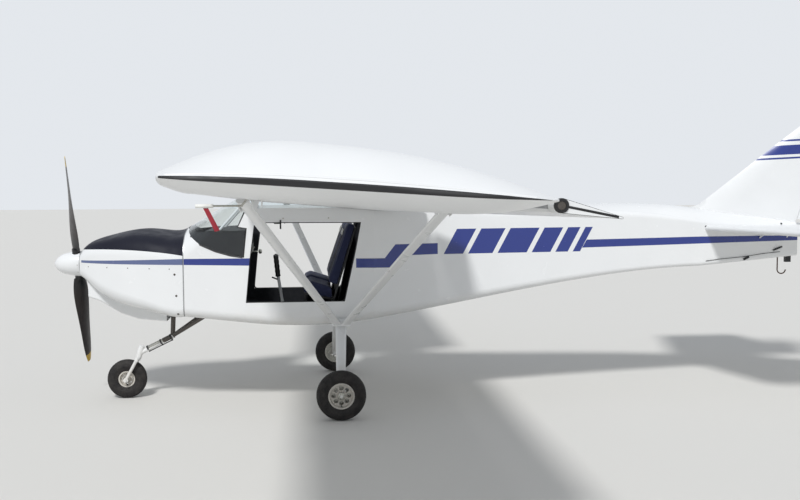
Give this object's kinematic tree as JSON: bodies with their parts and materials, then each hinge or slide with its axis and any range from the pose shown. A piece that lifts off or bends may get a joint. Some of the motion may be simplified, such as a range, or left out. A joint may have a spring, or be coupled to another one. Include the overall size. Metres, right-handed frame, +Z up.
{
  "type": "microlight aircraft",
  "caption": "Strut-braced high-wing light aircraft with a tractor propeller, side-by-side seats, an open cabin and a fixed nosewheel undercarriage.",
  "frame": {"origin": "on the ground, under the middle of the length and of the span", "axes": "+X aft, +Y to starboard, +Z up"},
  "size_m": [6.4874, 9.212, 2.1999],
  "materials": {
    "white_skin": "gloss painted composite",
    "dark_cowl": "gloss painted composite",
    "wing_cover": "gloss painted fabric",
    "body_cover": "gloss painted skin",
    "glazing": "clear",
    "engine_metal": "cast metal",
    "grey_metal": "satin",
    "white_metal": "gloss paint",
    "dark_metal": "satin paint",
    "steel": "brushed",
    "blade_wood": "dark varnish",
    "panel_black": "matt",
    "seat_navy": "woven",
    "tyre_rubber": "matt",
    "streamer_red": "woven",
    "cover_white": "matt"
  },
  "bodies": {
    "airframe": {"airspeed_probe": "steel", "bulkhead": "body_cover", "cabin_frame": "dark_metal", "chin_duct": "white_skin", "control_stick": "white_metal", "cowl_lower": "white_skin", "cowl_upper": "dark_cowl", "elevator_hinges": "grey_metal", "engine_block": "engine_metal", "fin": "wing_cover", "firewall": "grey_metal", "flaperon_hangers": "grey_metal", "floor_panel": "white_skin", "instrument_panel": "panel_black", "main_leg_left": "white_metal", "main_leg_right": "white_metal", "nose_leg": "white_metal", "probe_cover": "cover_white", "rear_fuselage": "body_cover", "roof_panel": "glazing", "rudder_hinges": "grey_metal", "screen_braces": "white_metal", "seat_back_left": "seat_navy", "seat_back_right": "seat_navy", "seat_cushion_left": "seat_navy", "seat_cushion_right": "seat_navy", "seat_frame": "panel_black", "side_panel_left": "white_skin", "side_panel_right": "white_skin", "strut_fittings": "dark_metal", "tailplane_left": "wing_cover", "tailplane_right": "wing_cover", "tail_braces": "white_metal", "tow_hook": "steel", "tow_release": "dark_metal", "warning_streamer": "streamer_red", "windscreen": "glazing", "wing_left": "wing_cover", "wing_right": "wing_cover", "wing_struts_left": "white_metal", "wing_struts_right": "white_metal", "wing_tip_left": "wing_cover", "wing_tip_right": "wing_cover"},
    "propeller": {"propeller": "blade_wood", "spinner": "white_skin"},
    "nose_fork": {"nose_fork": "white_metal"},
    "nose_wheel": {"nose_hub": "grey_metal", "nose_tyre": "tyre_rubber"},
    "main_wheel_left": {"main_hub_left": "grey_metal", "main_tyre_left": "tyre_rubber"},
    "main_wheel_right": {"main_hub_right": "grey_metal", "main_tyre_right": "tyre_rubber"},
    "rudder": {"rudder": "wing_cover"},
    "elevator": {"elevator": "wing_cover"},
    "flaperon_left": {"flaperon_left": "wing_cover"},
    "flaperon_right": {"flaperon_right": "wing_cover"}
  },
  "joints": [
    {"name": "propeller_spin", "type": "hinge", "parent": "airframe", "child": "propeller", "pos_m": [-3.07065, 0, 1.051], "axis": [1, 0, 0], "continuous": true},
    {"name": "nose_steer", "type": "hinge", "parent": "airframe", "child": "nose_fork", "pos_m": [-2.61565, 0, 0.357], "axis": [0.309, 0, 0.9511], "range_deg": [-25, 25]},
    {"name": "nose_wheel_spin", "type": "hinge", "parent": "nose_fork", "child": "nose_wheel", "pos_m": [-2.71665, 0, 0.15], "axis": [0, 1, 0], "continuous": true},
    {"name": "main_wheel_left_spin", "type": "hinge", "parent": "airframe", "child": "main_wheel_left", "pos_m": [-1.08265, -0.903, 0.175], "axis": [0, 1, 0], "continuous": true},
    {"name": "main_wheel_right_spin", "type": "hinge", "parent": "airframe", "child": "main_wheel_right", "pos_m": [-1.08265, 0.903, 0.175], "axis": [0, 1, 0], "continuous": true},
    {"name": "rudder_swing", "type": "hinge", "parent": "airframe", "child": "rudder", "pos_m": [2.67635, 0, 1.285], "axis": [0.309, 0, 0.9511], "range_deg": [-25, 25]},
    {"name": "elevator_swing", "type": "hinge", "parent": "airframe", "child": "elevator", "pos_m": [2.69635, 0, 1.285], "axis": [0, 1, 0], "range_deg": [-25, 20]},
    {"name": "flaperon_left_swing", "type": "hinge", "parent": "airframe", "child": "flaperon_left", "pos_m": [-0.40465, -2.5, 1.52801], "axis": [0, 0.9997, -0.0244], "range_deg": [-18, 18]},
    {"name": "flaperon_right_swing", "type": "hinge", "parent": "airframe", "child": "flaperon_right", "pos_m": [-0.40465, 2.5, 1.52801], "axis": [0, 0.9997, 0.0244], "range_deg": [-18, 18]}
  ]
}
